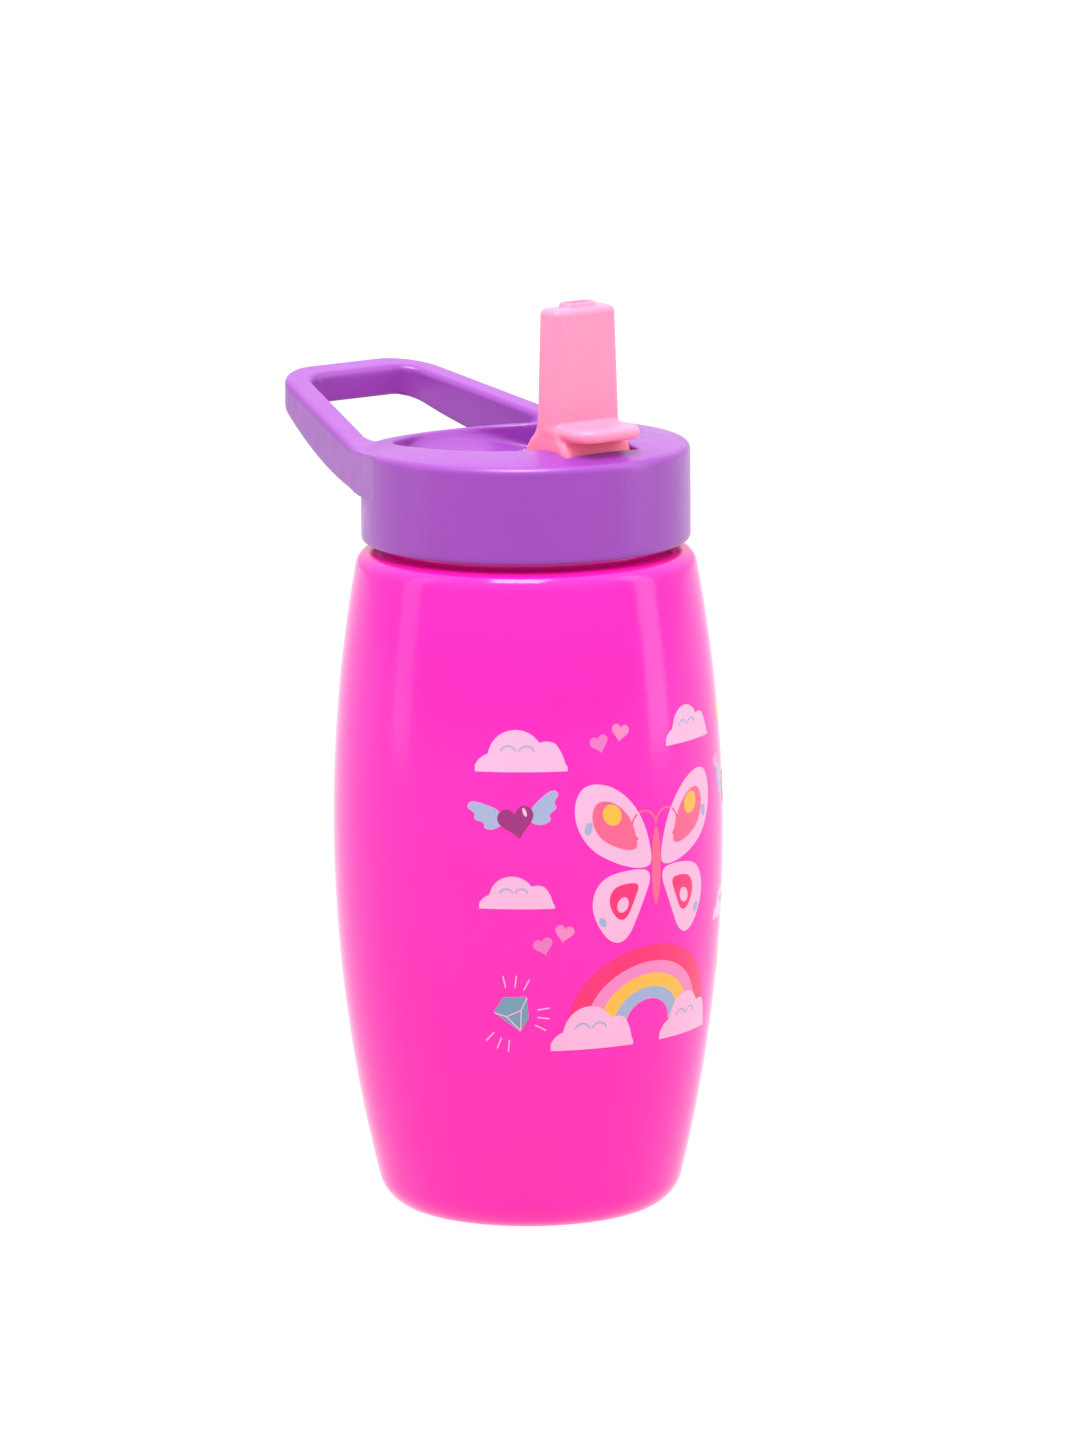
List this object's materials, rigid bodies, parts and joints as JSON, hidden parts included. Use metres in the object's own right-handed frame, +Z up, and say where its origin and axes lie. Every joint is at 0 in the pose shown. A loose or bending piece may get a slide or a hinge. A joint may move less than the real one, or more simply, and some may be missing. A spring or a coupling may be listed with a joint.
{
  "type": "kids water bottle",
  "caption": "Barrel-shaped kids water bottle with a screw lid, a fixed carry loop, a flip-up spout with a thumb tab, and a straw inside.",
  "frame": {"origin": "centre of the base, on the surface that the bottle stands on", "axes": "+Z is up along the bottle's axis, the spout is at the front (-Y), the carry loop points to the back (+Y)"},
  "size_m": [0.075, 0.099, 0.1776],
  "materials": {
    "body_plastic": "glossy hot pink moulded plastic",
    "lid_plastic": "satin purple moulded plastic",
    "liner_plastic": "satin moulded plastic",
    "pivot_plastic": "satin white moulded plastic",
    "straw_plastic": "satin translucent white tube",
    "spout_silicone": "soft satin light pink silicone",
    "clear_silicone": "soft translucent white silicone"
  },
  "bodies": {
    "bottle": {"bottle_body": "body_plastic"},
    "gasket": {"lid_gasket": "clear_silicone"},
    "lid": {"lid": "lid_plastic", "lid_liner": "liner_plastic", "spout_seal": "clear_silicone", "straw_connector": "pivot_plastic", "straw": "straw_plastic", "vent_valve": "clear_silicone"},
    "spout": {"spout": "spout_silicone", "spout_pivot": "pivot_plastic"}
  },
  "joints": [
    {"name": "lid_rise", "type": "slide", "parent": "bottle", "child": "gasket", "axis": [0, 0, 1], "range_m": [0, 0.0048]},
    {"name": "lid_turn", "type": "hinge", "parent": "gasket", "child": "lid", "pos_m": [0, 0, 0.135], "axis": [0, 0, 1], "range_deg": [0, 432]},
    {"name": "spout_flip", "type": "hinge", "parent": "lid", "child": "spout", "pos_m": [0, -0.0173, 0.1466], "axis": [-1, 0, 0], "range_deg": [0, 90]}
  ],
  "couplings": [
    {"joint": "lid_turn", "follows": "lid_rise", "rad_per_m": 1570.8}
  ]
}
